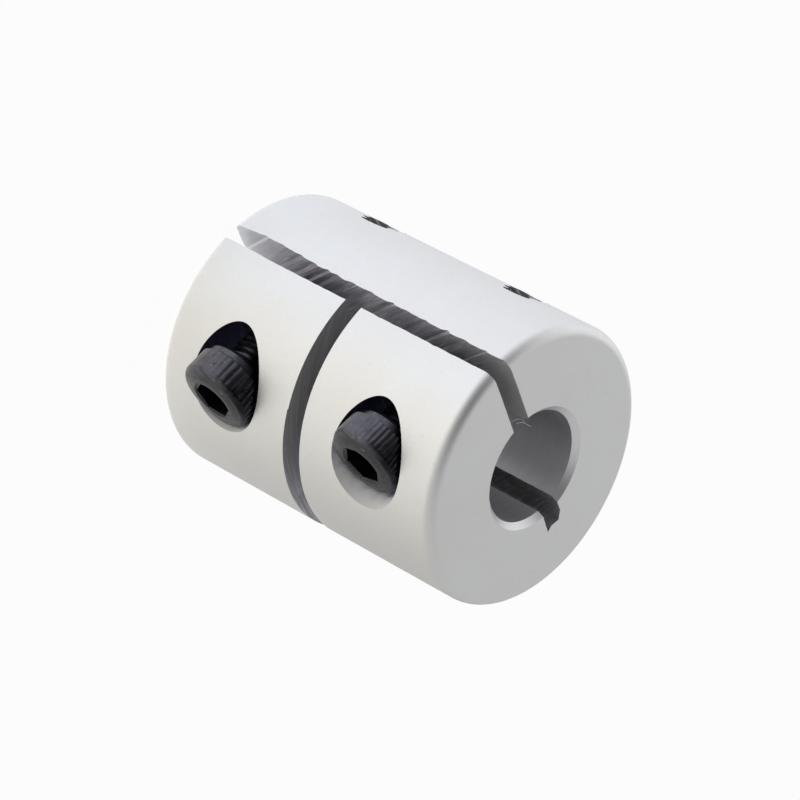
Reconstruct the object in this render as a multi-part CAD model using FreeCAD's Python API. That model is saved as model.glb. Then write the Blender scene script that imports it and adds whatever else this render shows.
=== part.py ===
import FreeCAD, Part
import math
import os

from FreeCAD import Placement, Rotation, Vector

# A rigid coupling that clamps two shafts end to end. One turned body is split by saw cuts into two
# clamps that share a solid back, and a socket head screw closes each clamp.
# Millimetres. Z runs up the bore from the lower end face, the long slot opens towards +Y, and the
# screws go in from -X: their heads sit in wells there, and their threads are in the +X half.

# Body, turned from round bar
body_diameter = 20.0
body_length = 25.0
rim_rounding = 0.8
bore_diameter = 8.0
bore_chamfer = 0.4

# Saw cuts: the long slot goes through the bore into the back, the cross cut parts the two clamps
slot_width = 1.5
slot_past_bore = 1.8
slot_corner_bevel = 0.4
cross_cut_width = 1.45

# Socket head screws
thread_diameter = 2.9
screw_length = 10.0
tip_chamfer = 0.35
head_diameter = 5.5
head_height = 3.0
head_bevel = 0.3
collar_height = 0.85
collar_step = 0.16
knurl_ridges = 32
knurl_depth = 0.12
socket_across_flats = 2.5
socket_depth = 1.5
socket_cone_depth = 0.35
socket_mouth_bevel = 0.08

# Screw holes, square to the slot
screw_from_end = 6.0
bore_to_hole_wall = 0.1
thread_play = 0.05
shank_clearance = 0.15
head_clearance = 0.25
ear_grip = 2.75

# How each screw stands: how far its head is backed off its seat, how it leans, how it is turned
upper_head_lift = 2.15
upper_lean = 0.0
upper_turn = 45.0
lower_head_lift = 3.1
lower_lean = 1.0
lower_turn = 6.0

# A cutting tool runs this far past the surface that it cuts
overrun = 1.0

outer_radius = body_diameter / 2
bore_radius = bore_diameter / 2
slot_floor = -(bore_radius + slot_past_bore)
middle = body_length / 2

thread_radius = thread_diameter / 2
tapped_radius = thread_radius + thread_play
clearance_radius = thread_radius + shank_clearance
well_radius = head_diameter / 2 + head_clearance
screw_offset = bore_radius + bore_to_hole_wall + clearance_radius
seat_x = -(slot_width / 2 + ear_grip)
lower_screw_z = screw_from_end
upper_screw_z = body_length - screw_from_end

along_x = Vector(1, 0, 0)


def prism(points, height):
    """A closed polygon, drawn from its corners, raised along Z."""
    outline = Part.makePolygon(points + [points[0]])
    return Part.Face(outline).extrude(Vector(0, 0, height))


def polar(radius, degrees, z=0.0):
    """A point at a radius and an angle from X."""
    angle = math.radians(degrees)
    return Vector(radius * math.cos(angle), radius * math.sin(angle), z)


def arc(start, middle_point, end):
    """An edge that is part of a circle through three points."""
    return Part.Arc(start, middle_point, end).toShape()


def line(start, end):
    """A straight edge."""
    return Part.LineSegment(start, end).toShape()


def turned_blank():
    """The bar turned to size, with rounded rims and a bore chamfered at both ends."""
    rim_x = outer_radius - rim_rounding
    bulge = rim_rounding * math.sqrt(0.5)
    top = body_length - rim_rounding
    mouth = bore_radius + bore_chamfer
    low_face = Vector(rim_x, 0, 0)
    low_side = Vector(outer_radius, 0, rim_rounding)
    high_side = Vector(outer_radius, 0, top)
    high_face = Vector(rim_x, 0, body_length)
    bore_low = Vector(bore_radius, 0, bore_chamfer)
    bore_high = Vector(bore_radius, 0, body_length - bore_chamfer)
    edges = [
        line(Vector(mouth, 0, 0), low_face),
        arc(low_face, Vector(rim_x + bulge, 0, rim_rounding - bulge), low_side),
        line(low_side, high_side),
        arc(high_side, Vector(rim_x + bulge, 0, top + bulge), high_face),
        line(high_face, Vector(mouth, 0, body_length)),
        line(Vector(mouth, 0, body_length), bore_high),
        line(bore_high, bore_low),
        line(bore_low, Vector(mouth, 0, 0)),
    ]
    section = Part.Face(Part.Wire(edges))
    return section.revolve(Vector(0, 0, 0), Vector(0, 0, 1), 360)


def long_slot():
    """The cut from the outside through the bore into the back, with one worn corner at its floor."""
    half = slot_width / 2
    mouth = outer_radius + overrun
    return prism([
        Vector(-half, mouth, -overrun),
        Vector(-half, slot_floor, -overrun),
        Vector(half - slot_corner_bevel, slot_floor, -overrun),
        Vector(half, slot_floor + slot_corner_bevel, -overrun),
        Vector(half, mouth, -overrun),
    ], body_length + 2 * overrun)


def cross_cut():
    """The cut across the screw side, down to the bore's axis, that parts the two clamps."""
    depth = outer_radius + overrun
    corner = Vector(-depth, -depth, middle - cross_cut_width / 2)
    return Part.makeBox(depth, 2 * depth, cross_cut_width, corner)


def screw_hole(z):
    """The well for the head, the clearance hole as far as the slot, and the tapped hole past it."""
    outside = outer_radius + overrun
    start = Vector(-outside, screw_offset, z)
    well = Part.makeCylinder(well_radius, outside + seat_x, start, along_x)
    clearance = Part.makeCylinder(clearance_radius, outside, start, along_x)
    tapped = Part.makeCylinder(tapped_radius, outside, Vector(0, screw_offset, z), along_x)
    return [well, clearance, tapped]


def coupling_body():
    """The one-piece body: turned, bored, drilled for two screws, then sawn."""
    body = turned_blank()
    for z in (lower_screw_z, upper_screw_z):
        for tool in screw_hole(z):
            body = body.cut(tool)
    body = body.cut(long_slot())
    return body.cut(cross_cut())


def knurled_head():
    """The ridged part of the head, with its top edge bevelled. The head's top is at -head_height."""
    crest = head_diameter / 2
    root = crest - knurl_depth
    pitch = 360.0 / knurl_ridges
    top = -head_height
    outline = []
    for ridge in range(knurl_ridges):
        start = ridge * pitch
        outline.append(polar(crest, start, top))
        outline.append(polar(crest, start + pitch * 0.45, top))
        outline.append(polar(root, start + pitch * 0.725, top))
    height = head_height - collar_height
    ridged = prism(outline, height)
    flare = Part.makeCone(crest - head_bevel, crest - head_bevel + height, height, Vector(0, 0, top))
    return ridged.common(flare)


def socket():
    """The hexagon socket, with a shallow cone at its floor and a small bevel round its mouth."""
    corner = socket_across_flats / math.sqrt(3)
    flat = socket_across_flats / 2
    top = -head_height
    floor = top + socket_depth
    hexagon = prism([polar(corner, 60 * side, top) for side in range(6)], socket_depth)
    cone = Part.makeCone(flat, 0, socket_cone_depth, Vector(0, 0, floor))
    mouth = Part.makeCone(corner + socket_mouth_bevel, corner, socket_mouth_bevel, Vector(0, 0, top))
    return [hexagon, cone, mouth]


def clamp_screw():
    """A socket head screw along Z: its tip up, the underside of its head at the origin."""
    collar = Part.makeCylinder(head_diameter / 2 - collar_step, collar_height, Vector(0, 0, -collar_height))
    shank_length = screw_length - tip_chamfer
    shank = Part.makeCylinder(thread_radius, shank_length)
    tip = Part.makeCone(thread_radius, thread_radius - tip_chamfer, tip_chamfer, Vector(0, 0, shank_length))
    screw = knurled_head().fuse([collar, shank, tip])
    for tool in socket():
        screw = screw.cut(tool)
    return screw.removeSplitter()


def placed_screw(z, head_lift, lean, turn):
    """A screw in its hole, leaning about the mouth of its thread towards the bore by lean degrees."""
    screw = clamp_screw()
    screw.rotate(Vector(0, 0, 0), Vector(0, 0, 1), turn)
    under_head = Vector(seat_x - head_lift, screw_offset, z)
    screw.Placement = Placement(under_head, Rotation(Vector(0, 0, 1), along_x)).multiply(screw.Placement)
    screw.rotate(Vector(slot_width / 2, screw_offset, z), Vector(0, 0, 1), lean)
    return screw


pieces = {
    "coupling_body": coupling_body(),
    "upper_clamp_screw": placed_screw(upper_screw_z, upper_head_lift, upper_lean, upper_turn),
    "lower_clamp_screw": placed_screw(lower_screw_z, lower_head_lift, lower_lean, lower_turn),
}

os.makedirs("parts", exist_ok=True)
for name, shape in pieces.items():
    shape.exportStep(f"parts/{name}.step")
    box = shape.BoundBox
    print(f"{name}: {len(shape.Solids)} solid, {shape.Volume:.2f} mm3, valid {shape.isValid()}, "
          f"x {box.XMin:.3f} to {box.XMax:.3f}, y {box.YMin:.3f} to {box.YMax:.3f}, "
          f"z {box.ZMin:.3f} to {box.ZMax:.3f}")
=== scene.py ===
"""Rigid coupling: one split clamp body and its two socket head screws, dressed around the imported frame.

Pieces are modelled with one Blender unit to the millimetre, because the mesh operators merge and bevel with
fixed tolerances, and are handed over in metres at the end. The bore's axis is Z, the long slot opens towards
+Y, and the screws go in from -X.
"""

from __future__ import annotations

import logging
import math
from collections.abc import Callable, Iterator, Sequence
from contextlib import contextmanager
from dataclasses import dataclass, field
from enum import Enum

import bpy
from mathutils import Matrix, Vector, noise

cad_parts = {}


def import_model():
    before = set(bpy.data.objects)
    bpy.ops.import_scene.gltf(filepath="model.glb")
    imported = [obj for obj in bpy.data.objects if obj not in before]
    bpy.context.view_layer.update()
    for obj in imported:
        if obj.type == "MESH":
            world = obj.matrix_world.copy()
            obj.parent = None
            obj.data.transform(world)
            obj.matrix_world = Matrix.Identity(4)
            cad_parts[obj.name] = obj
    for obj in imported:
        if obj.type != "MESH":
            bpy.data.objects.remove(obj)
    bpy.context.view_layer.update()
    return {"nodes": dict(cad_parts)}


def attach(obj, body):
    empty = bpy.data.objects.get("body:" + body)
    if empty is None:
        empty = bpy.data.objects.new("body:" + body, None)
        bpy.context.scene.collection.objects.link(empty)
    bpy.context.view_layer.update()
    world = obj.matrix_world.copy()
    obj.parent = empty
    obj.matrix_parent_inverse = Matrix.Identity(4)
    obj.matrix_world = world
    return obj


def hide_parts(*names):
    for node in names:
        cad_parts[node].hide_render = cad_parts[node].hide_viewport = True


log = logging.getLogger("coupling")

MILLIMETRE = 0.001

# How far a tool runs past the surface that it cuts
OVERRUN = 1.0

Piece = bpy.types.Object
Material = bpy.types.Material
Spot = tuple[float, float, float]
Colour = tuple[float, float, float, float]
Range = tuple[float, float]
Line = tuple[Range, ...]
Choice = Callable[[Vector, Vector], bool]


class Pick(Enum):
    """What an edit works on, as Blender's three select modes: points, edges and faces."""

    EDGES = (False, True, False)
    FACES = (False, False, True)


class Join(Enum):
    """How one solid is combined with another."""

    CUT = "DIFFERENCE"
    WELD = "UNION"
    KEEP_INSIDE = "INTERSECT"


def hold(piece: Piece) -> None:
    """Makes a piece the active object and the only one selected.

    Args:
        piece: The object.
    """
    bpy.ops.object.select_all(action="DESELECT")
    piece.select_set(True)
    bpy.context.view_layer.objects.active = piece


@contextmanager
def editing(piece: Piece, pick: Pick) -> Iterator[None]:
    """Opens a piece for edit operators.

    Args:
        piece: The object to edit.
        pick: What its selection is made of.
    """
    hold(piece)
    bpy.context.tool_settings.mesh_select_mode = pick.value
    bpy.ops.object.mode_set(mode="EDIT")
    yield
    bpy.ops.object.mode_set(mode="OBJECT")


def choose(piece: Piece, pick: Pick, wanted: Choice) -> None:
    """Selects part of a mesh by where it is.

    Args:
        piece: The object whose mesh is searched.
        pick: What to look through.
        wanted: Given a place and a normal, or an edge's direction, says whether to take it.
    """
    mesh = piece.data
    for group in (mesh.vertices, mesh.edges, mesh.polygons):
        group.foreach_set("select", [False] * len(group))
    if pick is Pick.FACES:
        members = [(face, face.center, face.normal) for face in mesh.polygons]
    else:
        ends = [point.co for point in mesh.vertices]
        members = []
        for edge in mesh.edges:
            start, end = (ends[index] for index in edge.vertices)
            members.append((edge, (start + end) / 2, (end - start).normalized()))
    for member, place, way in members:
        member.select = wanted(place, way)


def add(name: str, primitive: Callable[..., object], **settings: object) -> Piece:
    """Adds one of Blender's primitives, with its place and scale settled into its mesh.

    Args:
        name: The new object's name.
        primitive: The operator that adds it.
        settings: The operator's settings by name.

    Returns:
        The new object.
    """
    bpy.ops.object.select_all(action="DESELECT")
    primitive(**settings)
    piece = bpy.context.object
    piece.name = name
    settle(piece)
    return piece


def rod(name: str, radius: float, start: float, end: float, sides: int = 96) -> Piece:
    """Adds a round bar along Z."""
    size = {"radius": radius, "depth": end - start, "location": (0, 0, (start + end) / 2)}
    return add(name, bpy.ops.mesh.primitive_cylinder_add, vertices=sides, **size)


def outline(name: str, corners: Sequence[Spot], filled: bool) -> Piece:
    """Adds a ring of edges and moves each corner to its place.

    Args:
        name: The new object's name.
        corners: The corners in order.
        filled: Whether it is a face. Otherwise it is opened between its last corner and its first.

    Returns:
        The new object.
    """
    fill = "NGON" if filled else "NOTHING"
    piece = add(name, bpy.ops.mesh.primitive_circle_add, vertices=len(corners), fill_type=fill)
    for point, corner in zip(piece.data.vertices, corners, strict=True):
        point.co = corner
    if not filled:
        last = len(corners) - 1
        for edge in piece.data.edges:
            edge.select = set(edge.vertices) == {0, last}
        for point in piece.data.vertices:
            point.select = False
        with editing(piece, Pick.EDGES):
            bpy.ops.mesh.delete(type="EDGE")
    return piece


def settle(piece: Piece) -> None:
    """Moves an object's place, turn and scale into its mesh."""
    hold(piece)
    bpy.ops.object.transform_apply(location=True, rotation=True, scale=True)


def lay(piece: Piece, matrix: Matrix) -> None:
    """Places a piece by a matrix and settles it."""
    piece.matrix_world = matrix
    settle(piece)


def flare(piece: Piece, height: float, along: float, scale: float) -> None:
    """Extrudes the end face that closes a piece at a height, and scales the new end about the Z axis.

    Args:
        piece: The object, whose end face is square to Z.
        height: Where that face is.
        along: How far it is drawn out, negative for down. Zero makes a step.
        scale: How much wider the new end is.
    """
    middle = Vector((0, 0, height))
    choose(piece, Pick.FACES, lambda place, way: (place - middle).length < 1e-3)
    with editing(piece, Pick.FACES):
        bpy.ops.mesh.extrude_region_move(TRANSFORM_OT_translate={"value": (0, 0, along)})
        bpy.ops.transform.resize(value=(scale, scale, 1), center_override=(0, 0, height + along))


def soften(piece: Piece, wanted: Choice, width: float, segments: int) -> None:
    """Rounds the edges at a place.

    Args:
        piece: The object to round.
        wanted: Says which edges, from their middle and direction.
        width: How far the rounding reaches on each side.
        segments: How many faces it has across.
    """
    choose(piece, Pick.EDGES, wanted)
    with editing(piece, Pick.EDGES):
        bpy.ops.mesh.bevel(offset=width, segments=segments, profile=0.5, affect="EDGES")


def divide(piece: Piece, wanted: Choice, cuts: int) -> None:
    """Divides the edges at a place, and the faces between them.

    Args:
        piece: The object to divide.
        wanted: Says which edges, from their middle and direction.
        cuts: How many cuts each edge gets.
    """
    choose(piece, Pick.EDGES, wanted)
    with editing(piece, Pick.EDGES):
        bpy.ops.mesh.subdivide(number_cuts=cuts)


def shift(piece: Piece, moved: Callable[[Vector], Vector]) -> None:
    """Moves every point of a mesh.

    Args:
        piece: The object to change.
        moved: Given a point, says where it goes.
    """
    for point in piece.data.vertices:
        point.co = moved(point.co.copy())
    piece.data.update()


def apply_modifier(piece: Piece, kind: str, **settings: object) -> None:
    """Adds a modifier and applies it.

    Args:
        piece: The object that gets it.
        kind: The modifier's type.
        settings: Its settings by name.
    """
    modifier = piece.modifiers.new(kind.title(), kind)
    for name, value in settings.items():
        setattr(modifier, name, value)
    hold(piece)
    bpy.ops.object.modifier_apply(modifier=modifier.name)


def combine(piece: Piece, tool: Piece, join: Join, material: Material | None = None) -> None:
    """Cuts, welds or trims a piece with another solid, which is used up.

    Args:
        piece: The object that changes.
        tool: The other solid.
        join: What is done.
        material: What the faces get that the tool leaves.
    """
    if material:
        tool.data.materials.append(material)
    how = {"operation": join.value, "solver": "MANIFOLD", "material_mode": "TRANSFER"}
    apply_modifier(piece, "BOOLEAN", object=tool, **how)
    bpy.data.objects.remove(tool, do_unlink=True)


def face_outwards(piece: Piece) -> None:
    """Merges double points and turns every face outwards.

    Args:
        piece: The object to clean.
    """
    with editing(piece, Pick.FACES):
        bpy.ops.mesh.select_all(action="SELECT")
        bpy.ops.mesh.remove_doubles(threshold=1e-4)
        bpy.ops.mesh.normals_make_consistent(inside=False)


def hand_over(piece: Piece, matrix: Matrix, sharp_from: float) -> None:
    """Places a piece in metres and smooths its edges, but for those at sharp_from degrees or more."""
    lay(piece, Matrix.Scale(MILLIMETRE, 4) @ matrix)
    bpy.ops.object.shade_smooth_by_angle(angle=math.radians(sharp_from))


def math_method(operation: str, swapped: bool = False) -> Callable[[Wire, Wire | float], Wire]:
    """Makes a method of Wire that adds one Math node.

    Args:
        operation: What the node does with the wire and the other value.
        swapped: Whether the other value comes first.

    Returns:
        The method.
    """

    def method(wire: Wire, other: Wire | float) -> Wire:
        """Adds the node and returns its output."""
        return wire.math(operation, *((other, wire) if swapped else (wire, other)))

    return method


@dataclass(frozen=True)
class Wire:
    """An output socket that takes part in Python sums. Each sum adds the Math nodes it needs."""

    shop: PaintShop
    socket: bpy.types.NodeSocket

    def math(self, operation: str, *values: Wire | float, clamp: bool = False) -> Wire:
        """One Math node on these values."""
        settings = {"operation": operation, "use_clamp": clamp}
        return self.shop.node("ShaderNodeMath", settings, dict(enumerate(values)))

    __add__ = math_method("ADD")
    __radd__ = math_method("ADD", swapped=True)
    __sub__ = math_method("SUBTRACT")
    __rsub__ = math_method("SUBTRACT", swapped=True)
    __mul__ = math_method("MULTIPLY")
    __rmul__ = math_method("MULTIPLY", swapped=True)
    __truediv__ = math_method("DIVIDE")
    power = math_method("POWER")
    at_least = math_method("MAXIMUM")
    direction = math_method("ARCTAN2")

    def clamped(self) -> Wire:
        """self kept between 0 and 1."""
        return self.math("ADD", self, 0.0, clamp=True)

    def ramp(self, low: float, high: float) -> Wire:
        """0 below low, 1 above high and smooth between."""
        return self.shop.node(
            "ShaderNodeMapRange",
            {"interpolation_type": "SMOOTHSTEP"},
            {"Value": self, "From Min": low, "From Max": high},
        )


class PaintShop:
    """The node tree of one material or world, and the methods that add its nodes."""

    def __init__(self, tree: bpy.types.NodeTree) -> None:
        """Empties a tree to work in."""
        self.tree = tree
        tree.nodes.clear()

    def node(
        self,
        kind: str,
        settings: dict[str, object] | None = None,
        values: dict[str | int, object] | None = None,
        output: str | int = 0,
    ) -> Wire:
        """Adds any node.

        Args:
            kind: The node's type.
            settings: Its own settings, such as a Math node's operation.
            values: What its input sockets get, by name or number: a Wire or a plain value.
            output: Which output is returned.

        Returns:
            That output.
        """
        made = self.tree.nodes.new(kind)
        for name, value in (settings or {}).items():
            setattr(made, name, value)
        for name, value in (values or {}).items():
            socket = made.inputs[name]
            if isinstance(value, Wire):
                self.tree.links.new(value.socket, socket)
            else:
                socket.default_value = value
        if not made.outputs:
            return Wire(self, made.inputs[0])
        return Wire(self, made.outputs[output])

    def place(self, matrix: Matrix | None = None) -> Wire:
        """Object coordinates in millimetres.

        Args:
            matrix: The pattern's own place on the piece, in millimetres, if not the object's.

        Returns:
            The coordinates.
        """
        here = self.node("ShaderNodeTexCoord", output="Object")
        here = self.node("ShaderNodeVectorMath", {"operation": "SCALE"}, {0: here, "Scale": 1 / MILLIMETRE})
        if matrix is None:
            return here
        return self.node(
            "ShaderNodeMapping",
            {"vector_type": "TEXTURE"},
            {"Vector": here, "Location": matrix.to_translation(), "Rotation": matrix.to_euler("XYZ")},
        )

    def stretched(self, place: Wire, scale: Spot) -> Wire:
        """A place multiplied axis by axis."""
        return self.node("ShaderNodeVectorMath", {"operation": "MULTIPLY"}, {0: place, 1: scale})

    def vector(self, *parts: Wire | float) -> Wire:
        """A vector of three parts."""
        return self.node("ShaderNodeCombineXYZ", values=dict(enumerate(parts)))

    def split(self, place: Wire) -> tuple[Wire, Wire, Wire]:
        """Splits a vector.

        Args:
            place: The vector.

        Returns:
            Its three parts.
        """
        parts = self.node("ShaderNodeSeparateXYZ", values={0: place})
        outputs = parts.socket.node.outputs
        return tuple(Wire(self, outputs[index]) for index in range(3))

    def noise(self, place: Wire, scale: float, detail: float = 2.0, roughness: float = 0.5) -> Wire:
        """Soft noise from about 0.3 to 0.7 at so many cells to the millimetre."""
        return self.node(
            "ShaderNodeTexNoise",
            {"noise_dimensions": "3D"},
            {"Vector": place, "Scale": scale, "Detail": detail, "Roughness": roughness},
            "Fac",
        )

    def blend(self, share: Wire | float, first: object, second: object) -> Wire:
        """A colour between two colours."""
        return self.node("ShaderNodeMix", {"data_type": "RGBA"}, {0: share, 6: first, 7: second}, 2)

    def bump(self, height: Wire, depth: float, below: Wire | None = None) -> Wire:
        """A normal from a height.

        Args:
            height: The height, 0 to 1.
            depth: How deep a height of 1 is, in millimetres.
            below: The normal that it is laid over.

        Returns:
            The normal.
        """
        values = {"Height": height, "Distance": depth * MILLIMETRE, "Strength": 1.0}
        if below is not None:
            values["Normal"] = below
        return self.node("ShaderNodeBump", values=values)

    def surface(self, **values: object) -> None:
        """Ends a material with one Principled shader.

        Args:
            values: What its sockets get, with underscores for the spaces in their names.
        """
        sockets = {name.replace("_", " "): value for name, value in values.items()}
        shader = self.node("ShaderNodeBsdfPrincipled", values=sockets)
        self.node("ShaderNodeOutputMaterial", values={"Surface": shader})


class Finish:
    """What every finish shares: it adds its nodes to a new material."""

    def make(self, name: str) -> Material:
        """Builds the material.

        Args:
            name: The material's name.

        Returns:
            The material.
        """
        material = bpy.data.materials.new(name)
        material.use_nodes = True
        self.paint(PaintShop(material.node_tree))
        return material

    def paint(self, shop: PaintShop) -> None:
        """Adds the finish's own nodes."""
        raise NotImplementedError


def grey(value: float, warmth: float = 0.0) -> Colour:
    """A grey, turned towards yellow by a positive warmth and towards blue by a negative one."""
    return (value * (1 + warmth), value, value * (1 - warmth), 1.0)


def bared(value: float, cast: float = 1.0) -> Colour:
    """A tone with bare metal's cast of blue."""
    return (value, value * (1 - 0.01 * cast), value * (1 + 0.05 * cast), 1.0)


@dataclass(frozen=True)
class BlastedAluminium(Finish):
    """Turned aluminium, blasted and clear anodised: satin, with a fine even grain."""

    brightness: float = 0.86
    roughness: float = 0.46
    grain_per_mm: float = 9.0
    grain_depth: float = 0.0022
    cloud_per_mm: float = 0.22

    def paint(self, shop: PaintShop) -> None:
        """Adds the nodes.

        Args:
            shop: The material's empty node tree.
        """
        place = shop.place()
        clouds = shop.noise(place, self.cloud_per_mm, 3.0)
        grain = shop.noise(place, self.grain_per_mm, 3.0, 0.6)
        specks = shop.noise(place, self.grain_per_mm * 0.35, 1.0).ramp(0.66, 0.72)
        warm, cool = grey(self.brightness, 0.006), grey(self.brightness * 1.02, -0.008)
        tone = shop.blend(clouds.ramp(0.35, 0.65), warm, cool)
        tone = shop.blend(grain.ramp(0.3, 0.7) * 0.35, tone, grey(self.brightness * 0.93))
        tone = shop.blend(specks * 0.12, tone, grey(self.brightness * 0.75))
        shop.surface(
            Base_Color=tone,
            Metallic=1.0,
            Roughness=self.roughness + 0.08 * grain - 0.04 * clouds,
            Normal=shop.bump(grain, self.grain_depth),
        )


@dataclass(frozen=True)
class BoredAluminium(Finish):
    """The wall of a bore or a tapped hole: bare metal with fine turning rings round its axis."""

    brightness: float = 0.95
    roughness: float = 0.42
    rings_per_mm: float = 9.0
    ring_depth: float = 0.0007
    along_x: bool = False

    def paint(self, shop: PaintShop) -> None:
        """Adds the nodes.

        Args:
            shop: The material's empty node tree.
        """
        place = shop.place()
        squash = (self.rings_per_mm, 0.15, 0.15) if self.along_x else (0.15, 0.15, self.rings_per_mm)
        rings = shop.noise(shop.stretched(place, squash), 1.0, 2.0)
        grain = shop.noise(place, 10.0, 2.0)
        dull, clear = (bared(self.brightness * part, 0.45) for part in (0.87, 0.92))
        tone = shop.blend(rings.ramp(0.3, 0.7), dull, clear)
        shop.surface(
            Base_Color=tone,
            Metallic=1.0,
            Roughness=self.roughness + 0.06 * rings,
            Normal=shop.bump(grain, 0.002, shop.bump(rings, self.ring_depth)),
        )


@dataclass(frozen=True)
class CounterboredAluminium(Finish):
    """The wall of a screw's well: pale and rough at its mouth, and painted darker further in as the well's
    shade, with turning rings there.
    """

    mouth: float = 1.0
    # inside: the tone further into the well, which is painted shade.
    inside: float = 0.40
    mouth_at: float = -9.1
    painted_shade_from: float = -6.9
    rings_per_mm: float = 5.0

    def paint(self, shop: PaintShop) -> None:
        """Adds the nodes.

        Args:
            shop: The material's empty node tree.
        """
        place = shop.place()
        x, _, _ = shop.split(place)
        rings = shop.noise(shop.stretched(place, (self.rings_per_mm, 0.4, 0.4)), 1.0, 2.0)
        grain = shop.noise(place, 6.0, 3.0, 0.6)
        blotches = shop.noise(place, 1.6, 3.0)
        # Painted shade: from a blotchy edge on, the wall turns darker and bluer further into the well.
        inside = (x + 1.6 * (blotches - 0.5)).ramp(self.mouth_at, self.painted_shade_from)
        tone = shop.blend(inside, grey(self.mouth), (self.inside, self.inside, self.inside * 1.35, 1.0))
        tone = shop.blend(rings.ramp(0.35, 0.65) * inside * 0.4, tone, grey(self.inside * 0.8, -0.08))
        shop.surface(
            Base_Color=tone,
            Metallic=0.85 * inside,
            Roughness=0.70 - 0.36 * inside + 0.1 * rings,
            Normal=shop.bump(grain, 0.004, shop.bump(rings, 0.003)),
        )


@dataclass(frozen=True)
class SawnAluminium(Finish):
    """The wall of a saw cut: bare rough metal, scored by the blade's teeth.

    The scores of the long slot run straight, at a slope from the outside in, and fade towards its ends.
    Those of the cross cut are arcs.
    """

    brightness: float = 0.86
    roughness: float = 0.56
    lines_per_mm: float = 7.0
    line_depth: float = 0.014
    slope: float = 48.0
    far_worn: Range = (1.0, 6.0)
    near_worn: Range = (21.5, 23.5)
    worn_above: Range = (2.0, 4.0)
    near_half: Range = (12.0, 13.0)
    arc_centre: tuple[float, float] | None = None
    arc_scale: float = 8.0
    arcs_dim: Range = (-1.5, 3.5)
    # Painted light: the wall is painted paler towards the slot's far end, up to this height on Z.
    painted_light_end: float | None = None
    # Painted shade deep in the slot, below this height on Y, over this depth.
    painted_shade_below: float | None = None
    painted_shade_depth: float = 2.0

    def paint(self, shop: PaintShop) -> None:
        """Adds the nodes.

        Args:
            shop: The material's empty node tree.
        """
        x, y, z = shop.split(shop.place())
        if self.arc_centre:
            aside, off = x - self.arc_centre[0], y - self.arc_centre[1]
            across = (aside * aside + off * off).power(0.5)
            along = off.direction(aside) * self.arc_scale
            depth = z
            bare = 1.0
        else:
            turn = math.radians(self.slope)
            across = z * math.cos(turn) - y * math.sin(turn)
            along = z * math.sin(turn) + y * math.cos(turn)
            depth = x
            bare = z.ramp(*self.far_worn) * (1.0 - z.ramp(*self.near_worn) * y.ramp(*self.worn_above))
        lie = shop.vector(across, along * 0.05, depth * 0.1)
        scores = shop.noise(lie, self.lines_per_mm, 3.0, 0.6)
        broad = shop.noise(lie, self.lines_per_mm * 0.2, 2.0)
        short = shop.vector(across, along * 0.03, depth * 0.1 + 7.0)
        scratches = shop.noise(short, self.lines_per_mm * 1.9, 0.0).ramp(0.67, 0.73) * bare
        dark, dull, clear = (bared(self.brightness * part) for part in (0.6, 0.7, 1.0))
        tone = shop.blend(scores.ramp(0.35, 0.68), dull, clear)
        tone = shop.blend(broad.ramp(0.45, 0.65) * 0.2, tone, dark)
        tone = shop.blend(scratches * 0.7, tone, grey(1.0))
        if self.arc_centre:
            tone = shop.blend(y.ramp(*self.arcs_dim) * 0.6, tone, grey(self.brightness * 0.62))
        # Painted shade: the wall darkens deep in the slot, below the bore, where the slot's depth shades it;
        # its scratches stay faintly pale.
        if self.painted_shade_below is not None:
            low = 1.0 - y.ramp(self.painted_shade_below - self.painted_shade_depth, self.painted_shade_below)
            tone = shop.blend(low * 0.55, tone, grey(0.25))
            tone = shop.blend(low * scratches * 0.2, tone, grey(0.9))
        if self.painted_light_end is not None:
            worn = (1.0 - bare) * z.ramp(*self.near_half)
            tone = shop.blend(worn * 0.85, tone, grey(self.brightness * 0.78))
            # Painted light: paler towards the slot's far end.
            far = 1.0 - z.ramp(self.painted_light_end * 0.4, self.painted_light_end)
            tone = shop.blend(far * 0.6, tone, grey(1.0))
        shop.surface(
            Base_Color=tone,
            Metallic=0.85,
            Roughness=self.roughness + 0.15 * scores - 0.2 * scratches,
            Normal=shop.bump(scratches, self.line_depth * 0.5, shop.bump(scores, self.line_depth)),
        )


@dataclass(frozen=True)
class PaintedNotchGlint(Finish):
    """The strip just past a notch in the slot's wall, with a painted highlight near the outside that fades
    further in.
    """

    bright: Range = (7.6, 8.8)

    def paint(self, shop: PaintShop) -> None:
        """Adds the nodes.

        Args:
            shop: The material's empty node tree.
        """
        place = shop.place()
        _, y, _ = shop.split(place)
        patches = shop.noise(place, 3.0, 2.0).ramp(0.35, 0.6)
        # Painted highlight: a pale, less metallic tone near the outside stands in for the glint of light on
        # the notch's edge.
        bright = y.ramp(*self.bright) * (patches * 0.4 + 0.6)
        shop.surface(
            Base_Color=shop.blend(bright, grey(0.6), grey(1.0)),
            Metallic=1.0 - 0.9 * bright,
            Roughness=0.55 + 0.05 * patches,
        )


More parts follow.
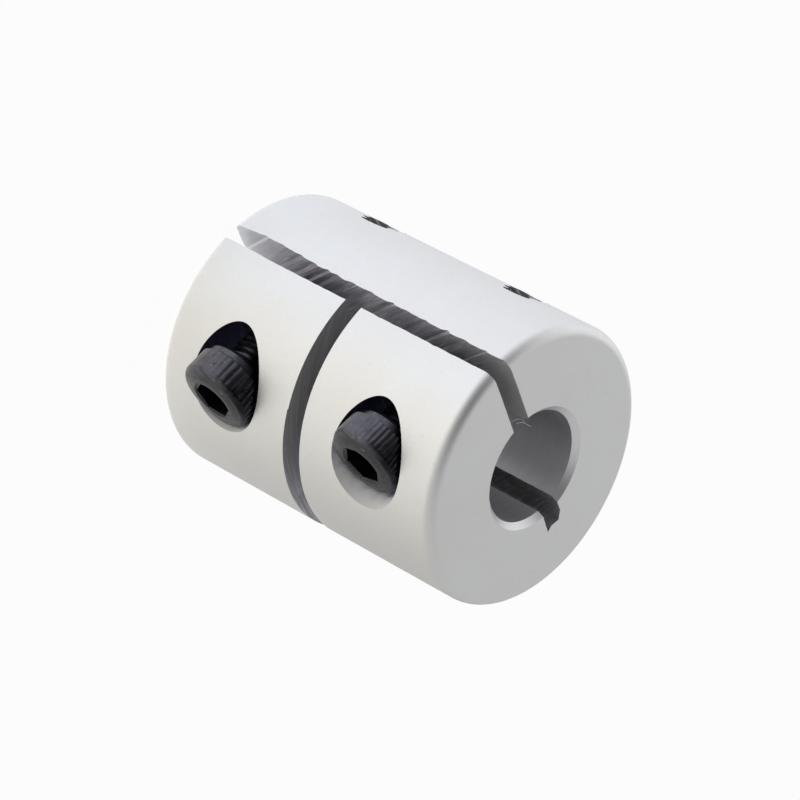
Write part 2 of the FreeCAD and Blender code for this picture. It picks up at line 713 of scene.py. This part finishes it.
@dataclass(frozen=True)
class BlackenedSteel(Finish):
    """Black oxide steel with a trace of oil, dark smears and a few pale specks.

    The knurl's crests are lighter, partly from real wear and partly as a painted highlight. The side that
    faces the light is painted lighter on the knurl and collar, as painted light over the knurl's real wear
    there; that side is given as a turn in degrees round the screw's own axis.
    """

    place_of_screw: Matrix
    worn_and_lit_turn: float
    darkness: float = 0.020
    # The lit side's tone: painted light over the knurl's real wear.
    worn_and_lit_tone: float = 0.120
    # The tone of the drawn streaks, and of the crests' partly painted highlight.
    rubbed_and_glint: float = 0.13
    roughness: float = 0.20
    crests: Range = (2.735, 2.749)
    knurl: Range = (2.3, 2.6)
    collar: Range = (-0.8, -0.7)
    worn_and_lit_reach: Range = (-0.25, 0.95)

    @staticmethod
    def blued(value: float) -> Colour:
        """A tone with the oxide's cast of blue."""
        return (value, value, value * 1.17, 1.0)

    def paint(self, shop: PaintShop) -> None:
        """Adds the nodes.

        Args:
            shop: The material's empty node tree.
        """
        place = shop.place(self.place_of_screw)
        x, y, z = shop.split(place)
        radius = (x * x + y * y).power(0.5)
        fine = shop.noise(place, 7.0, 3.0, 0.6)
        patches = shop.noise(place, 1.3, 3.0)
        drawn = shop.noise(shop.stretched(place, (9.0, 9.0, 0.8)), 1.0, 3.0, 0.6)
        specks = shop.noise(place, 5.0, 0.0).ramp(0.79, 0.82)
        smears = shop.noise(place, 2.6, 4.0, 0.65)
        # The crests are painted lighter, partly as real wear and partly as a painted highlight.
        crest = radius.ramp(*self.crests) * patches.ramp(0.35, 0.6)
        # Painted light: the knurl and collar are lighter on the side that faces the light and darker on the
        # far side.
        worn_and_lit_way = math.radians(self.worn_and_lit_turn)
        turned = (x * math.cos(worn_and_lit_way) + y * math.sin(worn_and_lit_way)) / radius
        side = turned.ramp(*self.worn_and_lit_reach)
        outer = (radius.ramp(*self.knurl) + z.ramp(*self.collar)).clamped()
        worn = (side * outer + (1.0 - outer) * 0.5 + (patches - 0.5) * 0.9).clamped()
        tone = shop.blend(worn, self.blued(self.darkness), self.blued(self.worn_and_lit_tone))
        tone = shop.blend(smears.ramp(0.46, 0.64) * 0.55, tone, self.blued(self.darkness * 1.8))
        tone = shop.blend(drawn.ramp(0.55, 0.75) * 0.35, tone, self.blued(self.rubbed_and_glint))
        tone = shop.blend(crest * 0.6, tone, self.blued(self.rubbed_and_glint))
        tone = shop.blend(specks * 0.35, tone, grey(0.35))
        shop.surface(
            Base_Color=tone,
            Metallic=1.0,
            Roughness=self.roughness + 0.12 * patches + 0.10 * worn - 0.05 * crest,
            Normal=shop.bump(fine, 0.010, shop.bump(drawn, 0.012)),
        )


class Finishes:
    """The finishes of the body, one for each way its surfaces were made, and one that paints a highlight on
    the notches' edges.
    """

    def __init__(self) -> None:
        """Builds them all."""
        tapped = BoredAluminium(brightness=0.6, roughness=0.5, along_x=True)
        slot = SawnAluminium(brightness=0.78, painted_light_end=5.4, painted_shade_below=-2.0)
        cross = SawnAluminium(brightness=0.80, arc_centre=(7.0, -1.0))
        self.skin = BlastedAluminium().make("blasted_aluminium")
        self.bore = BoredAluminium().make("bored_aluminium")
        self.well = CounterboredAluminium().make("counterbored_aluminium")
        self.tapped = tapped.make("tapped_aluminium")
        self.slot = slot.make("slot_sawn_aluminium")
        self.notch = PaintedNotchGlint().make("notch_painted_glint_aluminium")
        self.cross = cross.make("cross_sawn_aluminium")


@dataclass
class ScrewThread:
    """A helical thread along Z, as a solid."""

    crest: float
    root: float
    pitch: float = 0.5
    crest_flat: float = 0.07
    root_flat: float = 0.10
    steps: int = 36

    def solid(self, name: str, start: float, end: float) -> Piece:
        """Winds the thread.

        Args:
            name: The new object's name.
            start: Where it starts on Z.
            end: Where it ends on Z.

        Returns:
            A closed solid with flat ends.
        """
        low = math.floor(start / self.pitch) - 2
        turns = math.ceil(end / self.pitch) + 2 - low
        base = low * self.pitch
        rise = (self.pitch - self.crest_flat - self.root_flat) / 2
        profile = [
            (self.root, 0, base),
            (self.root, 0, base + self.root_flat),
            (self.crest, 0, base + self.root_flat + rise),
            (self.crest, 0, base + self.root_flat + rise + self.crest_flat),
            (self.root, 0, base + self.pitch),
        ]
        thread = outline(name, profile, filled=False)
        apply_modifier(
            thread,
            "SCREW",
            axis="Z",
            angle=math.tau,
            screw_offset=self.pitch,
            iterations=turns,
            steps=self.steps,
            render_steps=self.steps,
            use_merge_vertices=True,
            merge_threshold=1e-3,
        )
        with editing(thread, Pick.FACES):
            bpy.ops.mesh.select_all(action="SELECT")
            bpy.ops.mesh.remove_doubles(threshold=1e-3)
            for height, sign in ((start, -1), (end, 1)):
                bpy.ops.mesh.select_all(action="SELECT")
                cut = {"plane_co": (0, 0, height), "plane_no": (0, 0, sign), "threshold": 1e-5}
                bpy.ops.mesh.bisect(use_fill=True, clear_outer=True, **cut)
        face_outwards(thread)
        return thread


@dataclass
class ClampScrew:
    """A socket head cap screw, M3 by 10. It is made tip up, with the underside of its head at zero."""

    node: str
    height: float
    head_lift: float
    lean: float
    turn: float
    neck_depth: float
    collar_radius: float
    ridges: int
    ridge_depth: float
    seat: float = -3.5
    offset: float = 5.7
    lean_from: float = 0.75
    head_radius: float = 2.75
    head_height: float = 3.0
    shoulder_height: float = 0.68
    shoulder_width: float = 0.48
    dome_height: float = 0.14
    dome_width: float = 0.72
    shoulder_steps: int = 10
    dome_steps: int = 4
    points_per_ridge: int = 8
    groove_shape: float = 1.6
    wear: float = 0.9
    # The side where the knurl is worn flatter; the steel's colour also paints it lighter, as painted light.
    worn_and_lit_side: float = 60.0
    collar_height: float = 0.85
    neck_height: float = 0.14
    underside_bevel: float = 0.3
    length: float = 10.0
    tip_chamfer: float = 0.42
    thread: ScrewThread = field(default_factory=lambda: ScrewThread(crest=1.47, root=1.17))
    socket_across_flats: float = 2.58
    socket_depth: float = 1.5
    socket_cone: float = 0.4
    cone_foot: float = 0.86
    cone_tip: float = 0.06
    sink_margin: float = 0.06
    sink_depth: float = 0.12
    shank_in_head: float = 0.4

    @property
    def place(self) -> Matrix:
        """Where the screw stands, in millimetres: backed off its seat, turned, and leaning in its hole."""
        pivot = Matrix.Translation((self.lean_from, self.offset, self.height))
        lean = pivot @ Matrix.Rotation(math.radians(self.lean), 4, "Z") @ pivot.inverted()
        return lean @ self.straight_place

    @property
    def straight_place(self) -> Matrix:
        """The same place without the lean, which the tapped hole keeps."""
        under_head = Matrix.Translation((self.seat - self.head_lift, 0, 0))
        return under_head @ self.hole_place @ Matrix.Rotation(math.radians(self.turn), 4, "Z")

    @property
    def hole_place(self) -> Matrix:
        """The middle of the screw's hole, with Z turned to point along X."""
        return Matrix.Translation((0, self.offset, self.height)) @ Matrix.Rotation(math.radians(90), 4, "Y")

    def knurled(self, point: Vector) -> Vector:
        """Presses the grooves between the ridges into the head, less on its worn side.

        Args:
            point: A point of the head.

        Returns:
            Where it goes.
        """
        radius = math.hypot(point.x, point.y)
        if radius < self.head_radius - self.ridge_depth - 0.02:
            return point
        angle = math.atan2(point.y, point.x)
        hollow = (0.5 - 0.5 * math.cos(angle * self.ridges)) ** self.groove_shape
        worn = max(0.0, math.cos(angle + math.radians(self.turn - self.worn_and_lit_side)))
        patchy = 1.0 + noise.noise(Vector((point.x * 1.3, point.y * 1.3, point.z * 0.7 + self.turn)))
        hollow *= 1 - self.wear * worn * min(1.0, max(0.5, patchy))
        limit = self.head_radius - self.ridge_depth * hollow
        if radius <= limit:
            return point
        return Vector((point.x * limit / radius, point.y * limit / radius, point.z))

    def make_head(self) -> Piece:
        """Makes the knurled head, its neck and collar, and sinks the socket.

        Returns:
            The head.
        """
        top = -self.head_height
        collar_top = -self.collar_height
        rounded = top + self.shoulder_height
        sides = self.ridges * self.points_per_ridge
        head = rod(self.node, self.head_radius, rounded, collar_top, sides)
        dome_edge = self.head_radius - self.shoulder_width
        places = []
        for step in range(1, self.shoulder_steps + 1):
            angle = step / self.shoulder_steps * math.pi / 2
            fall = (self.shoulder_height - self.dome_height) * math.sin(angle)
            places.append((rounded - fall, dome_edge + self.shoulder_width * math.cos(angle)))
        for step in range(1, self.dome_steps + 1):
            inward = step / self.dome_steps
            places.append((top + self.dome_height * (1 - inward) ** 2, dome_edge - self.dome_width * inward))
        height, radius = rounded, self.head_radius
        for new_height, new_radius in places:
            flare(head, height, new_height - height, new_radius / radius)
            height, radius = new_height, new_radius
        neck_radius = self.collar_radius - self.neck_depth
        flare(head, collar_top, 0.0, neck_radius / self.head_radius)
        neck_end = collar_top + self.neck_height
        flare(head, collar_top, self.neck_height, 1.0)
        flare(head, neck_end, 0.0, self.collar_radius / neck_radius)
        flare(head, neck_end, -neck_end - self.underside_bevel, 1.0)
        end_share = 1 - self.underside_bevel / self.collar_radius
        flare(head, -self.underside_bevel, self.underside_bevel, end_share)
        shift(head, self.knurled)
        face_outwards(head)
        for tool in self.socket_tools():
            combine(head, tool, Join.CUT)
        return head

    def socket_tools(self) -> list[Piece]:
        """Makes the tools for the hexagon socket.

        Returns:
            The broach and the countersink.
        """
        top = -self.head_height
        corner = self.socket_across_flats / math.sqrt(3)
        floor = top + self.socket_depth
        broach = rod("broach", corner, top - OVERRUN, floor, sides=6)
        flare(broach, floor, 0.0, self.cone_foot)
        flare(broach, floor, self.socket_cone, self.cone_tip)
        mouth, foot = corner + self.sink_margin + OVERRUN, top + self.sink_depth
        sink = rod("countersink", mouth, top - OVERRUN, foot)
        choose(sink, Pick.FACES, lambda place, way: way.z > 0.9)
        with editing(sink, Pick.FACES):
            narrowed = 1 - (self.sink_depth + OVERRUN) / mouth
            bpy.ops.transform.resize(value=(narrowed, narrowed, 1), center_override=(0, 0, foot))
        return [broach, sink]

    def make_shank(self) -> Piece:
        """Makes the threaded shank with its chamfered tip.

        Returns:
            The shank.
        """
        shank = self.thread.solid("shank", -self.shank_in_head, self.length)
        envelope = rod("envelope", self.thread.crest + 0.05, -OVERRUN, self.length)
        end = self.length
        soften(envelope, lambda place, way: abs(place.z - end) < 1e-4, self.tip_chamfer, segments=1)
        combine(shank, envelope, Join.KEEP_INSIDE)
        return shank

    def make(self) -> Piece:
        """Builds the screw, places it and dresses it.

        Returns:
            The finished piece, riding on the root body.
        """
        screw = self.make_head()
        combine(screw, self.make_shank(), Join.WELD)
        face_outwards(screw)
        # The knurl's worn side, which the steel paints lighter as painted light.
        worn_and_lit_turn = self.worn_and_lit_side - self.turn
        screw.data.materials.clear()
        screw.data.materials.append(BlackenedSteel(self.place, worn_and_lit_turn).make(f"black_oxide_{self.node}"))
        hand_over(screw, self.place, sharp_from=32)
        screw.name = f"{self.node}_detail"
        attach(screw, "root")
        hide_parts(self.node)
        log.info("%s: %d faces", screw.name, len(screw.data.polygons))
        return screw


def between(value: float, start: float, end: float) -> float:
    """How far a value is on the way from start to end, kept between 0 and 1."""
    return max(0.0, min(1.0, (value - start) / (end - start)))


def read_line(line: Line, place: float) -> float:
    """Reads a line at a place.

    Args:
        line: Its corners, each a place and a value. It is level beyond its ends.
        place: Where to read it.

    Returns:
        The value there.
    """
    low, first = line[0]
    for high, value in line[1:]:
        if place < high:
            return first + (value - first) * between(place, low, high)
        low, first = high, value
    return first


@dataclass
class SawCut:
    """The long slot. The saw's teeth left a row of sharp notches, which run down its walls at a slope.

    A mark's place is the height at which it meets the outside. The far wall is the one on the tapped side.
    """

    reach: float = 11.5
    slope: float = 48.0
    row_gap: float = 0.35
    first_row: float = -3.5
    last_row: float = 45.0
    near_wall: float = 0.66
    far_wall: float = 0.79
    floor: Line = ((0.80, -5.18), (0.42, -5.80), (-0.28, -5.65), (-0.72, -5.90))
    notch_rise: float = 0.5
    notch_edge: float = 0.08
    notch_fall: float = 0.18
    notch_pitch: float = 1.7
    notch_scale: float = 1.7
    notch_clear: Range = (-0.6, 0.4)
    least_gap: float = 0.04
    floor_waves: float = 0.05
    wall_waves: float = 0.012
    edge_reach: Range = (7.6, 9.9)
    notches_fade: Range = (-6.0, 8.0)
    near_face: Range = (22.0, 23.8)
    below_mouth: Range = (9.7, 8.5)
    bright_from: tuple[float, float] = (7.5, 5.0)
    notches: Line = (
        (-0.5, 0.05), (1.2, 0.03), (3.0, 0.05), (4.75, 0.04), (6.5, 0.06), (7.9, 0.09), (8.95, 0.06),
        (10.0, 0.07), (11.4, 0.07), (13.15, 0.06), (14.9, 0.08), (16.35, 0.05), (18.05, 0.07),
        (19.8, 0.09), (21.55, 0.07), (23.2, 0.05), (24.9, 0.05),
    )
    far_edge: Line = (
        (0.0, 0.70), (0.9, 0.70), (1.6, 0.79), (2.6, 0.85), (3.5, 0.87), (4.75, 0.84), (6.2, 0.78),
        (6.9, 0.73), (7.5, 0.64), (9.3, 0.66), (10.2, 0.64), (10.7, 0.57), (11.0, 0.66), (12.4, 0.68),
        (14.3, 0.62), (17.0, 0.65), (18.7, 0.59), (20.8, 0.63), (24.2, 0.60), (25.0, 0.72),
    )
    near_edge: Line = ((0.0, 0.56), (3.0, 0.57), (5.0, 0.64), (11.4, 0.64), (13.0, 0.67), (25.0, 0.68))

    @property
    def lean(self) -> float:
        """How much lower a mark is for each millimetre further in."""
        return math.tan(math.radians(self.slope))

    def all_notches(self) -> Line:
        """Adds evenly spaced notches beyond those that the outside shows, further down the walls.

        Returns:
            All notches.
        """
        last, depth = self.notches[-1]
        count = int((self.last_row - last) / self.notch_pitch)
        return self.notches + tuple((last + self.notch_pitch * step, depth) for step in range(1, count))

    def rows(self) -> list[float]:
        """Places the walls' rows of points at the corners of each notch, and evenly between.

        Returns:
            The marks of the rows.
        """
        count = int((self.last_row - self.first_row) / self.row_gap)
        places = [self.first_row + self.row_gap * step for step in range(count)]
        before, after = self.notch_clear
        strip_end = self.notch_fall + self.notch_edge
        corners = (-self.notch_rise, -self.notch_rise * 0.4, 0.0, self.notch_fall, strip_end)
        for notch, _ in self.all_notches():
            places = [place for place in places if not before < place - notch < after]
            places += [notch + corner for corner in corners]
        places.sort()
        kept = [places[0]]
        for place in places[1:]:
            if place - kept[-1] > self.least_gap:
                kept.append(place)
        return kept

    def notch_depth(self, mark: float) -> float:
        """Measures how much deeper the wall is at a mark.

        Args:
            mark: The mark.

        Returns:
            The depth.
        """
        deepest = 0.0
        for notch, depth in self.all_notches():
            past = mark - notch
            reach = self.notch_fall if past > 0 else self.notch_rise
            deepest = max(deepest, self.notch_scale * depth * (1 - abs(past) / reach))
        return deepest

    def mark_of(self, point: Vector) -> float:
        """The mark that a point of the walls is on."""
        return point.z + (10 - point.y) * self.lean

    def worn(self, point: Vector, mark: float) -> Vector:
        """Moves a point of the blade's path along its mark, and to where the saw really went.

        Args:
            point: The point in the path's cross section.
            mark: Its mark.

        Returns:
            Where it goes.
        """
        z = mark - (10 - point.y) * self.lean
        if abs(point.x) < 0.5 and point.y < -5:
            lift = self.floor_waves * noise.noise(Vector((point.x * 2, 3.1, z * 0.9)))
            return Vector((point.x, point.y + lift, z))
        rough = self.wall_waves * noise.noise(Vector((1.7, mark * 3.0, point.y * 0.5)))
        nearness = between(point.y, *self.edge_reach)
        fading = 0.45 + 0.55 * between(point.y, *self.notches_fade)
        smoothed = between(z, *self.near_face) * between(point.y, *self.below_mouth)
        cut = self.notch_depth(mark) * fading * (1 - smoothed)
        if point.x > 0:
            edge = read_line(self.far_edge, z) - self.far_wall
            return Vector((point.x + edge * nearness + cut + rough, point.y, z))
        edge = read_line(self.near_edge, z) - self.near_wall
        return Vector((point.x - edge * nearness - 0.3 * cut - rough, point.y, z))

    def section(self) -> list[Spot]:
        """Draws the path's cross section, with corners closer together near the outside.

        Returns:
            Its corners.
        """
        depths = [self.reach - 0.25 * step for step in range(19)]
        while depths[-1] > self.floor[0][1] + 1.0:
            depths.append(depths[-1] - 0.75)
        right = [(self.far_wall, y, 0.0) for y in depths]
        left = [(-self.near_wall, y, 0.0) for y in reversed(depths)]
        return right + [(x, y, 0.0) for x, y in self.floor] + left

    def tool(self, finishes: Finishes) -> Piece:
        """Makes the solid that the saw takes away.

        Args:
            finishes: Where the finishes of the walls and the painted highlight of the notches' edges are.

        Returns:
            The solid.
        """
        rows = self.rows()
        last = len(rows) - 1
        blade = outline("slot_tool", self.section(), filled=True)
        choose(blade, Pick.FACES, lambda place, way: True)
        with editing(blade, Pick.FACES):
            bpy.ops.mesh.extrude_region_move(TRANSFORM_OT_translate={"value": (0, 0, last)})
        divide(blade, lambda place, way: abs(way.z) > 0.9, last - 1)
        shift(blade, lambda point: self.worn(point, rows[round(point.z)]))
        face_outwards(blade)
        blade.data.materials.append(finishes.slot)
        blade.data.materials.append(finishes.notch)
        # The strip just past each notch on the far wall gets the painted highlight.
        for face in blade.data.polygons:
            on_far_wall = face.center.x > 0.5 and abs(face.normal.x) > 0.3
            face.material_index = int(on_far_wall and self.on_strip(face.center))
        return blade

    def on_strip(self, point: Vector) -> bool:
        """Says whether a point of the walls is on the strip just past a notch that gets a painted highlight.

        Args:
            point: The point.

        Returns:
            Whether it is.
        """
        y_from, z_from = self.bright_from
        past = [self.mark_of(point) - notch - self.notch_fall for notch, _ in self.all_notches()]
        return point.y > y_from and point.z > z_from and any(0 < way < self.notch_edge for way in past)


@dataclass(frozen=True)
class Burr:
    """A hair of metal that the saw left hanging where the slot meets the near face."""

    name: str
    places: tuple[Spot, ...]
    thickness: float = 0.036

    @classmethod
    def curls(cls) -> list[Burr]:
        """The curls at the corner of the slot and the bore."""
        return [
            cls("long_burr", (
                (-0.24, 4.78, 24.96), (0.15, 4.62, 24.98), (0.44, 4.27, 24.95),
                (0.60, 3.7, 24.9), (0.95, 3.1, 24.7),
            )),
            cls("short_burr", (
                (-0.49, 5.16, 24.9), (-0.2, 5.14, 24.97), (0.14, 4.99, 24.97),
                (0.34, 4.7, 24.94), (0.47, 4.2, 24.92),
            )),
        ]

    def make(self) -> Piece:
        """Draws the curl as a smooth wire.

        Returns:
            A closed solid.
        """
        curl = add(self.name, bpy.ops.curve.primitive_nurbs_path_add, location=(0, 0, 0))
        spline = curl.data.splines[0]
        for point, place in zip(spline.points, self.places, strict=True):
            point.co = (*place, 1.0)
        spline.resolution_u = 4
        curl.data.bevel_depth = self.thickness / 2
        curl.data.bevel_resolution = 1
        curl.data.use_fill_caps = True
        bpy.ops.object.convert(target="MESH")
        face_outwards(curl)
        return curl


@dataclass
class CouplingBody:
    """The turned body: bored, drilled and tapped for two screws, slotted and cross cut."""

    finishes: Finishes
    node: str = "coupling_body"
    radius: float = 10.0
    length: float = 25.0
    rim: float = 0.8
    bore: float = 4.0
    bore_chamfer: float = 0.4
    sides: int = 360
    well_radius: float = 3.0
    well_corner: float = 0.15
    clearance_radius: float = 1.6
    cross_middle: float = 12.5
    cross_width: float = 1.45
    step_depth: float = 0.04
    step_height: float = 0.3
    step_tilt: float = 0.7
    step_pivot: float = 8.0
    step_centre: tuple[float, float] = (-15.0, -4.0)
    step_radius: float = 12.5
    tapped: ScrewThread = field(
        default_factory=lambda: ScrewThread(crest=1.60, root=1.28, crest_flat=0.14, root_flat=0.06)
    )

    def blank(self) -> Piece:
        """Turns the bar to size, with rounded rims.

        Returns:
            The bar.
        """
        blank = rod(self.node, self.radius, 0, self.length, self.sides)
        blank.data.materials.append(self.finishes.skin)
        soften(blank, lambda place, way: abs(way.z) < 0.5, self.rim, segments=10)
        return blank

    def bore_tool(self) -> Piece:
        """Makes the boring bar's path, with a chamfer at each end.

        Returns:
            The solid that it takes away.
        """
        low, high = self.bore_chamfer, self.length - self.bore_chamfer
        tool = rod("bore_tool", self.bore, low, high, sides=256)
        reach = self.bore_chamfer + OVERRUN
        flare(tool, high, reach, 1 + reach / self.bore)
        flare(tool, low, -reach, 1 + reach / self.bore)
        return tool

    def screw_tools(self, screw: ClampScrew) -> list[Piece]:
        """Makes the tools for one screw's hole.

        Args:
            screw: The screw.

        Returns:
            The counterbore, the clearance drill and the tap.
        """
        outside, seat = self.radius + OVERRUN, screw.seat
        well = rod("well_tool", self.well_radius, -outside, seat, sides=128)
        soften(well, lambda place, way: abs(place.z - seat) < 1e-4, self.well_corner, segments=3)
        drill = rod("drill_tool", self.clearance_radius, seat - OVERRUN, 0.0)
        under_head = seat - screw.head_lift
        tap = self.tapped.solid("tap_tool", -under_head, outside - under_head)
        lay(well, screw.hole_place)
        lay(drill, screw.hole_place)
        lay(tap, screw.straight_place)
        return [well, drill, tap]

    def cross_tool(self) -> Piece:
        """Makes the blade's path across the screw side, down to the bore's axis.

        Returns:
            The solid that it takes away.
        """
        reach = self.radius + OVERRUN
        size = {"scale": (reach, 2 * reach, self.cross_width), "location": (-reach / 2, 0, self.cross_middle)}
        return add("cross_tool", bpy.ops.mesh.primitive_cube_add, size=1, **size)

    def step_tool(self) -> Piece:
        """Makes the blade's second pass, which left a small step in the far clamp's wall.

        Returns:
            The solid that it takes away.
        """
        low = self.cross_middle - self.cross_width / 2
        start, end = low - self.step_depth, low + self.step_height
        tool = rod("step_tool", self.step_radius, start, end, sides=192)
        pivot = Matrix.Translation((0, self.step_pivot, low))
        tilt = Matrix.Rotation(math.radians(self.step_tilt), 4, "X")
        lay(tool, pivot @ tilt @ Matrix.Translation((*self.step_centre, 0)) @ pivot.inverted())
        return tool

    def skin_normals(self, body: Piece) -> None:
        """Gives the turned skin the normals of a true round body, whatever the cuts did to its facets.

        Args:
            body: The body in metres.
        """
        mesh = body.data
        skin = mesh.materials.find("blasted_aluminium")
        normals = [Vector(corner.vector) for corner in mesh.corner_normals]
        flat = (self.radius - self.rim) * MILLIMETRE
        low, high = self.rim * MILLIMETRE, (self.length - self.rim) * MILLIMETRE
        for face in mesh.polygons:
            if face.material_index != skin or abs(face.normal.z) > 0.999:
                continue
            for index in face.loop_indices:
                point = mesh.vertices[mesh.loops[index].vertex_index].co
                radius = math.hypot(point.x, point.y)
                height = min(high, max(low, point.z))
                outward = Vector((point.x, point.y, 0)) / radius * max(0.0, radius - flat)
                normals[index] = (outward + Vector((0, 0, point.z - height))).normalized()
        mesh.normals_split_custom_set(normals)

    def make(self, screws: Sequence[ClampScrew]) -> Piece:
        """Builds the body in the order a shop would make it.

        Args:
            screws: The screws that its holes are for.

        Returns:
            The finished piece, riding on the root body.
        """
        looks = self.finishes
        body = self.blank()
        combine(body, self.bore_tool(), Join.CUT, looks.bore)
        hole_looks = (looks.well, looks.well, looks.tapped)
        for screw in screws:
            for tool, look in zip(self.screw_tools(screw), hole_looks, strict=True):
                combine(body, tool, Join.CUT, look)
        combine(body, SawCut().tool(looks), Join.CUT)
        combine(body, self.cross_tool(), Join.CUT, looks.cross)
        combine(body, self.step_tool(), Join.CUT, looks.cross)
        for burr in Burr.curls():
            combine(body, burr.make(), Join.WELD, looks.slot)
        hand_over(body, Matrix.Identity(4), sharp_from=17)
        self.skin_normals(body)
        body.name = f"{self.node}_detail"
        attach(body, "root")
        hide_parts(self.node)
        log.info("%s: %d faces", body.name, len(body.data.polygons))
        return body


@dataclass(frozen=True)
class Softbox:
    """A large even lamp that faces the object."""

    name: str
    place: Spot
    size: float
    watts: float
    tint: Spot
    aimed_at: Spot = (0.0, 0.0, 0.0125)

    def hang(self) -> None:
        """Adds the lamp."""
        lamp = bpy.data.lights.new(self.name, "AREA")
        lamp.shape = "DISK"
        lamp.size = self.size
        lamp.energy = self.watts
        lamp.color = self.tint
        holder = bpy.data.objects.new(self.name, lamp)
        bpy.context.scene.collection.objects.link(holder)
        holder.location = self.place
        aim = Vector(self.aimed_at) - Vector(self.place)
        holder.rotation_euler = aim.to_track_quat("-Z", "Y").to_euler()


@dataclass(frozen=True)
class Studio:
    """A white table in an even light tent that is open, and so darker, on one side, with one large softbox.

    The table and the tent are white to the camera. The table also glows on the object, brighter towards +Y,
    warm from one side and cool from the other.
    """

    surround: float = 0.505
    surround_shown: float = 0.10
    opening: Spot = (0.02, 0.57, 0.80)
    opening_edge: Range = (0.64, 0.96)
    opening_depth: float = 0.52
    table_radius: float = 3.0
    table_height: float = -0.00002
    table_tone: float = 0.85
    table_white: float = 0.96
    glow: float = 0.47
    glow_middle: float = 10.0
    glow_slopes: Spot = (0.12, 0.6, -0.2)
    tint_slopes: tuple[float, float] = (0.8, 0.35)
    tint_edge: Range = (-0.25, 0.45)
    warm: Colour = (1.03, 1.0, 0.9, 1.0)
    cool: Colour = (0.965, 1.0, 1.07, 1.0)
    softbox: Softbox = Softbox("window_softbox", (0.5600, -0.1190, 0.1900), 0.75, 0.62, (0.97, 0.99, 1.0))
    camera_place: Spot = (-0.0999218, 0.1939095, 0.1690543)
    camera_right: Spot = (0.65035862, -0.24461967, 0.71916262)
    camera_ahead: Spot = (0.37188593, -0.72298814, -0.58222762)
    lens: float = 180.263

    def lay_table(self) -> None:
        """Adds the table, which keeps a trace of the object's shadow."""
        size = {"radius": self.table_radius, "location": (0, 0, self.table_height)}
        table = add("studio_floor", bpy.ops.mesh.primitive_circle_add, vertices=96, fill_type="NGON", **size)
        material = bpy.data.materials.new("pale_floor")
        material.use_nodes = True
        shop = PaintShop(material.node_tree)
        camera = shop.node("ShaderNodeLightPath", output="Is Camera Ray")
        x, y, _ = shop.split(shop.place())
        away = (x * x + y * y + self.glow_middle**2).power(0.5)
        x, y = x / away, y / away
        by_x, by_y, by_both = self.glow_slopes
        brighter = y * by_y + x * by_x + x * y * by_both + 1.0
        by_x, by_y = self.tint_slopes
        tint = shop.blend((x * by_x + y * by_y).ramp(*self.tint_edge), self.warm, self.cool)
        paper = shop.node("ShaderNodeBsdfDiffuse", values={"Color": grey(self.table_tone, 0.015)})
        white = shop.node("ShaderNodeEmission", values={"Color": grey(1.0), "Strength": 1.0})
        seen = shop.node("ShaderNodeMixShader", values={0: camera * self.table_white, 1: paper, 2: white})
        strength = (1.0 - camera) * brighter * self.glow
        glow = shop.node("ShaderNodeEmission", values={"Color": tint, "Strength": strength})
        both = shop.node("ShaderNodeAddShader", values={0: seen, 1: glow})
        shop.node("ShaderNodeOutputMaterial", values={"Surface": both})
        table.data.materials.append(material)

    def light_surround(self) -> None:
        """Sets the world: white behind the object, and the tent's pale light on it."""
        world = bpy.data.worlds.new("studio_surround")
        world.use_nodes = True
        bpy.context.scene.world = world
        shop = PaintShop(world.node_tree)
        camera = shop.node("ShaderNodeLightPath", output="Is Camera Ray")
        glossy = shop.node("ShaderNodeLightPath", output="Is Glossy Ray")
        through = shop.node("ShaderNodeLightPath", output="Is Transmission Ray")
        look = shop.node("ShaderNodeTexCoord", output="Generated")
        middle = Vector(self.opening).normalized()
        product = {"operation": "DOT_PRODUCT"}
        facing = shop.node("ShaderNodeVectorMath", product, {0: look, 1: middle}, "Value")
        level = self.surround - self.opening_depth * facing.ramp(*self.opening_edge)
        plain = shop.node("ShaderNodeBackground", values={"Color": grey(1.0), "Strength": level})
        white = shop.node("ShaderNodeBackground", values={"Color": grey(1.0), "Strength": 1.0})
        share = camera.at_least(through).at_least(glossy * self.surround_shown)
        mixed = shop.node("ShaderNodeMixShader", values={0: share, 1: plain, 2: white})
        shop.node("ShaderNodeOutputWorld", values={"Surface": mixed})

    def set_camera(self) -> None:
        """Stands the camera where the photograph was taken from, as fitted to its edges."""
        right, ahead = Vector(self.camera_right), Vector(self.camera_ahead)
        turn = Matrix((right, right.cross(ahead), -ahead)).transposed().to_4x4()
        camera = bpy.data.cameras.new("photo_camera")
        camera.sensor_width = 36.0
        camera.lens = self.lens
        camera.clip_start = 0.01
        camera.clip_end = 20.0
        holder = bpy.data.objects.new("photo_camera", camera)
        bpy.context.scene.collection.objects.link(holder)
        holder.matrix_world = Matrix.Translation(self.camera_place) @ turn
        bpy.context.scene.camera = holder

    def set_up(self) -> None:
        """Builds the studio round the object."""
        self.lay_table()
        self.light_surround()
        self.softbox.hang()
        self.set_camera()
        bpy.context.scene.view_settings.view_transform = "Standard"


def main() -> None:
    """Loads the frame, builds each piece around it, and sets up the studio."""
    logging.basicConfig(level=logging.INFO, format="%(name)s: %(message)s")
    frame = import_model()
    log.info("the frame has %s", ", ".join(sorted(frame["nodes"])))
    screws = [
        ClampScrew(
            "upper_clamp_screw", height=19.0, head_lift=2.15, lean=0.0, turn=15.0,
            neck_depth=0.2, collar_radius=2.42, ridges=46, ridge_depth=0.055,
        ),
        ClampScrew(
            "lower_clamp_screw", height=6.0, head_lift=3.1, lean=1.0, turn=36.0,
            neck_depth=0.04, collar_radius=2.50, ridges=34, ridge_depth=0.07,
        ),
    ]
    CouplingBody(Finishes()).make(screws)
    for screw in screws:
        screw.make()
    Studio().set_up()


if __name__ == "__main__":
    main()
